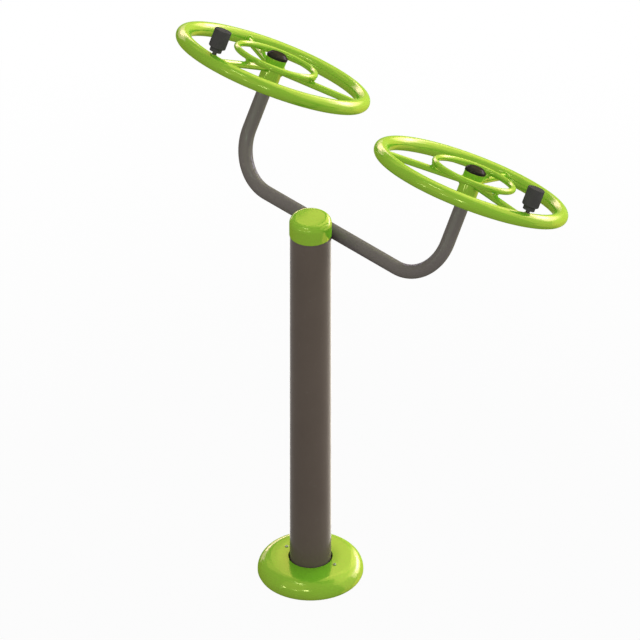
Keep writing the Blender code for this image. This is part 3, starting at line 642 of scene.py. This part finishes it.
def make_spokes(name, place, body):
    for number in (1, 2, 3):
        along = place @ turned_to(spoke_angle(name, number)) @ LIE_DOWN
        start = HUB_RADIUS - SPOKE_IN_HUB
        end = RIM_RADIUS - RIM_TUBE + SPOKE_IN_RIM
        outline = [(0, start), (SPOKE_RADIUS, start), (SPOKE_RADIUS, end), (0, end)]
        finished(spun(outline, 40), f"{name}_spoke_bar_{number}", "green_paint", body, along,
                 [f"{name}_spoke_{number}"])
        rim_weld = weld_ring(SPOKE_RADIUS + SPOKE_WELD_OUT, RIM_WELD, rim_seat)
        finished(rim_weld, f"{name}_spoke_rim_weld_{number}", "green_paint", body, along)
        hub_weld = weld_ring(SPOKE_RADIUS + SPOKE_WELD_OUT, HUB_WELD, hub_seat)
        finished(hub_weld, f"{name}_spoke_hub_weld_{number}", "green_paint", body, along)


def make_inner_ring(name, place, body):
    finished(bent_ring(RING_RADIUS, RING_BAR, 200, 32, RING_LIFT), name + "_ring_bar", "green_paint", body,
             place, [name + "_inner_ring"])
    for number in (1, 2, 3):
        spot = place @ turned_to(spoke_angle(name, number)) @ shifted(RING_RADIUS, 0, 0)
        low, high = SPOKE_RADIUS - FOOT_OVERLAP, RING_LIFT - FOOT_OVERLAP
        foot = spun([(0, low), (FOOT_RADIUS, low), (FOOT_RADIUS, high), (0, high)], 32)
        finished(foot, f"{name}_ring_foot_{number}", "green_paint", body, spot)
        spoke_weld = weld_ring(FOOT_RADIUS, FOOT_WELD, foot_seat, steps=64)
        finished(spoke_weld, f"{name}_foot_spoke_weld_{number}", "green_paint", body, spot)
        ring_weld = weld_ring(FOOT_RADIUS, FOOT_WELD, foot_top, steps=64)
        finished(ring_weld, f"{name}_foot_ring_weld_{number}", "green_paint", body, spot)


def make_hub(name, place, body):
    outline = [(HUB_BORE, HUB_BOTTOM), (HUB_RADIUS, HUB_BOTTOM), (HUB_RADIUS, HUB_TOP), (HUB_BORE, HUB_TOP)]
    rounded = [((HUB_RADIUS, HUB_BOTTOM), HUB_CHAMFER, 3), ((HUB_RADIUS, HUB_TOP), HUB_CHAMFER, 3)]
    finished(spun(outline, 96, rounded, closed=True), name + "_hub_barrel", "green_paint", body, place,
             [name + "_hub"])


def make_hub_cap(name, place, body):
    overhang, side, height, bevel, dome, wall = 0.0009, 0.0075, 0.0158, 0.010, 0.0006, 0.003
    lip_outer, lip_inner, lip_depth = 0.021, 0.0185, 0.004
    side_drop, soft_edge, hard_edge = 0.001, 0.0016, 0.0005
    radius = HUB_RADIUS + overhang
    bottom = HUB_TOP + SEAT_GAP
    side_top = bottom + side
    crown = bottom + height
    flat = radius - bevel
    outline = [(0, crown + dome), (flat, crown), (radius, side_top), (radius, bottom), (lip_outer, bottom),
               (lip_outer, bottom - lip_depth), (lip_inner, bottom - lip_depth), (lip_inner, bottom + wall),
               (radius - wall, bottom + wall), (radius - wall, side_top - side_drop),
               (flat - wall, crown - wall), (0, crown - wall)]
    rounded = [((flat, crown), soft_edge, 4), ((radius, side_top), soft_edge, 4),
               ((radius, bottom), hard_edge, 2)]
    finished(spun(outline, 96, rounded), name + "_hub_cap_shell", "black_gloss", body, place,
             [name + "_hub_cap"])


def make_spindle(name, place):
    clearance, collar, collar_edge, weld, weld_rise = 0.002, 0.005, 0.0008, 0.0016, 0.0001
    shoulder, shoulder_rise = 0.0127, 0.0037
    shaft, tip, chamfer = 0.010, 0.040, 0.0015
    collar_top = HUB_BOTTOM - clearance
    collar_bottom = collar_top - collar
    seat = HUB_BOTTOM + shoulder_rise
    outline = [(0, collar_bottom), (ARM_RADIUS, collar_bottom), (ARM_RADIUS, collar_top),
               (shoulder, collar_top), (shoulder, seat), (shaft, seat), (shaft, tip - chamfer),
               (shaft - chamfer, tip), (0, tip)]
    rounded = [((ARM_RADIUS, collar_top), collar_edge, 3)]
    finished(spun(outline, 64, rounded), name + "_spindle_shaft", "zinc_steel", "stand", place,
             [name + "_spindle"])
    bead = weld_ring(ARM_RADIUS, weld, lambda x, y: ARM_END + weld_rise, steps=160)
    finished(bead, name + "_spindle_weld", "brown_paint", "stand", place, finish="arm_paint_lit_copy")


def make_knob(name, place, wheel_body, knob_body):
    make_knob_stem(name, place, wheel_body)
    make_knob_grip(name, place, knob_body)
    make_knob_lid(name, place, knob_body)


def make_knob_stem(name, place, body):
    foot, weld, weld_out, weld_sink = 0.012, 0.0018, 0.0006, 0.0002
    head_radius, head_height = PIN_HEAD
    shoulder = KNOB_BOTTOM - SEAT_GAP
    head_top = PIN_SEAT + head_height
    stem = [(0, foot), (STEM_RADIUS, foot), (STEM_RADIUS, shoulder), (PIN_RADIUS, shoulder),
            (PIN_RADIUS, PIN_SEAT), (head_radius, PIN_SEAT), (head_radius, head_top), (0, head_top)]
    finished(spun(stem, 48), name + "_knob_stem", "black_steel", body, place, [name + "_knob_pin"])
    def stem_seat(x, y):
        return math.sqrt(RIM_TUBE ** 2 - x ** 2) - weld_sink
    bead = weld_ring(STEM_RADIUS + weld_out, weld, stem_seat, steps=64)
    finished(bead, name + "_knob_stem_weld", "green_paint", body, place @ turned_to(SPOKE_ANGLES[name]))


def make_knob_grip(name, place, body):
    collar, collar_height, flare = 0.0175, 0.010, 0.004
    bore, head_bore, bush_rise, lid_depth = 0.0086, 0.0108, 0.0023, 0.0038
    foot_edge, collar_edge, flare_edge, top_edge, mouth_edge = 0.0012, 0.0008, 0.0020, 0.0028, 0.0004
    collar_top = KNOB_BOTTOM + collar_height
    grip_bottom = collar_top + flare
    mouth = LID_RADIUS + SEAT_GAP
    lid_seat = KNOB_TOP - lid_depth
    head_seat = PIN_SEAT - bush_rise
    outline = [(bore, KNOB_BOTTOM), (collar, KNOB_BOTTOM), (collar, collar_top), (KNOB_RADIUS, grip_bottom),
               (KNOB_RADIUS, KNOB_TOP), (mouth, KNOB_TOP), (mouth, lid_seat), (head_bore, lid_seat),
               (head_bore, head_seat), (bore, head_seat)]
    rounded = [((collar, KNOB_BOTTOM), foot_edge, 3), ((collar, collar_top), collar_edge, 3),
               ((KNOB_RADIUS, grip_bottom), flare_edge, 4), ((KNOB_RADIUS, KNOB_TOP), top_edge, 8),
               ((mouth, KNOB_TOP), mouth_edge, 2)]
    finished(spun(outline, 96, rounded, closed=True), name + "_knob_handle", "black_plastic", body, place,
             [name + "_knob_grip"])


def make_knob_lid(name, place, body):
    sunk, edge = 0.0002, 0.0006
    low, high = KNOB_TOP - LID_THICKNESS, KNOB_TOP - sunk
    outline = [(0, low), (LID_RADIUS, low), (LID_RADIUS, high), (0, high)]
    disc = spun(outline, 96, [((LID_RADIUS, high), edge, 3)])
    finished(disc, name + "_knob_plug", "black_plastic", body, place, [name + "_knob_lid"])


def make_wheel(name):
    place = wheel_place(name)
    body = name + "_wheel"
    make_rim(name, place, body)
    make_spokes(name, place, body)
    make_inner_ring(name, place, body)
    make_hub(name, place, body)
    make_hub_cap(name, place, body)
    make_spindle(name, place)
    angle = SPOKE_ANGLES[name]
    knob_place = place @ shifted(RIM_RADIUS * math.cos(angle), RIM_RADIUS * math.sin(angle), 0)
    make_knob(name, knob_place, body, name + "_knob")


def finish_carried_nodes():
    """The pieces that stay as the drawing has them get their finish."""
    slots = {part["node"]: part["material_slot"] for part in frame["record"]["subparts"]}
    for node, piece in frame["nodes"].items():
        piece.data.materials.clear()
        piece.data.materials.append(FINISHES[slots[node]])


# Studio

def ray_is(finish, *kinds):
    """1 for rays of the named kinds, else 0."""
    found = finish.node("ShaderNodeLightPath", output=kinds[0])
    for kind in kinds[1:]:
        found = finish.node("ShaderNodeMath", {"operation": "MAXIMUM"},
                            {0: found, 1: finish.node("ShaderNodeLightPath", output=kind)})
    return found


def make_world():
    world = bpy.data.worlds.new("studio")
    bpy.context.scene.world = world
    finish = Finish(world)
    seen = ray_is(finish, "Is Camera Ray", "Is Glossy Ray", "Is Transmission Ray")
    output = finish.tree.nodes["World Output"]
    ambient = finish.node("ShaderNodeBackground", {}, {"Color": WHITE, "Strength": AMBIENT})
    white = finish.node("ShaderNodeBackground", {}, {"Color": WHITE, "Strength": 1.0})
    mixed = finish.node("ShaderNodeMixShader", {}, {0: seen, 1: ambient, 2: white})
    finish.feed(output.inputs["Surface"], mixed)


def make_floor():
    bm = bmesh.new()
    bmesh.ops.create_grid(bm, x_segments=1, y_segments=1, size=FLOOR_REACH)
    mesh = bpy.data.meshes.new("floor")
    bm.to_mesh(mesh)
    bm.free()
    floor = bpy.data.objects.new("floor", mesh)
    bpy.context.scene.collection.objects.link(floor)
    finish = new_finish("pale_floor")
    seen = ray_is(finish, "Is Camera Ray", "Is Transmission Ray")
    out = finish.node("ShaderNodeVectorMath", {"operation": "LENGTH"}, {0: finish.place()}, output="Value")
    whiteness = finish.between(out, *FLOOR_FADE, FLOOR_SHADE, 1.0)
    matt = finish.node("ShaderNodeBsdfDiffuse", {}, {"Color": FLOOR_GREY})
    white = finish.node("ShaderNodeEmission", {}, {"Color": WHITE, "Strength": 1.0})
    pale = finish.node("ShaderNodeMixShader", {}, {0: seen * whiteness, 1: matt, 2: white})
    # Gloss looks through the floor, at the white world and the low glows beyond it
    clear = finish.node("ShaderNodeBsdfTransparent")
    mixed = finish.node("ShaderNodeMixShader", {}, {0: ray_is(finish, "Is Glossy Ray"), 1: pale, 2: clear})
    finish.feed(finish.tree.nodes["Material Output"].inputs["Surface"], mixed)
    mesh.materials.append(finish.owner)


def make_softbox(name, azimuth, elevation, width, height, brightness, colour=(1.0, 1.0, 1.0), lights=True,
                 mirrored=True):
    """A far soft box, with its place and size as angles in degrees, seen from the wheels.

    Azimuth runs from the camera's side round to its right. A box can light the pieces, be mirrored in
    their gloss, or both."""
    front = Vector((CAMERA_BACK.x, CAMERA_BACK.y, 0)).normalized()
    turn, rise = math.radians(azimuth), math.radians(elevation)
    level = math.cos(turn) * front + math.sin(turn) * CAMERA_RIGHT
    towards = math.cos(rise) * level + math.sin(rise) * Vector((0, 0, 1))
    lamp = bpy.data.lights.new(name, "AREA")
    lamp.shape = "RECTANGLE"
    lamp.size = 2 * BOX_DISTANCE * math.tan(math.radians(width) / 2)
    lamp.size_y = 2 * BOX_DISTANCE * math.tan(math.radians(height) / 2)
    lamp.energy = brightness * math.pi * lamp.size * lamp.size_y
    lamp.color = colour
    piece = bpy.data.objects.new(name, lamp)
    piece.location = Vector((0, 0, BAR_HEIGHT)) + towards * BOX_DISTANCE
    piece.rotation_euler = towards.to_track_quat("Z", "Y").to_euler()
    piece.visible_camera = False
    piece.visible_diffuse = lights
    piece.visible_glossy = mirrored
    bpy.context.scene.collection.objects.link(piece)


def make_studio_lights():
    make_softbox(*KEY_BOX)
    for box in LIGHT_BOXES:
        make_softbox(*box, mirrored=False)
    for box in MIRRORED_BOXES:
        make_softbox(*box, lights=False)


def make_camera():
    camera = bpy.data.cameras.new("camera")
    camera.type = "ORTHO"
    camera.ortho_scale = CAMERA_WIDTH
    camera.clip_end = CAMERA_REACH
    piece = bpy.data.objects.new("camera", camera)
    piece.location = CAMERA_RIGHT * AIM_RIGHT + CAMERA_UP * AIM_UP + CAMERA_BACK * CAMERA_DISTANCE
    piece.rotation_euler = CAMERA_BACK.to_track_quat("Z", "Y").to_euler()
    bpy.context.scene.collection.objects.link(piece)
    bpy.context.scene.camera = piece


make_camera()
finish_carried_nodes()
make_base_cover()
make_cover_screws()
make_post()
make_post_cap()
make_arm()
make_saddle_welds()
make_wheel("right")
make_wheel("left")
make_world()
make_floor()
make_studio_lights()

bpy.context.scene.view_settings.view_transform = "Standard"
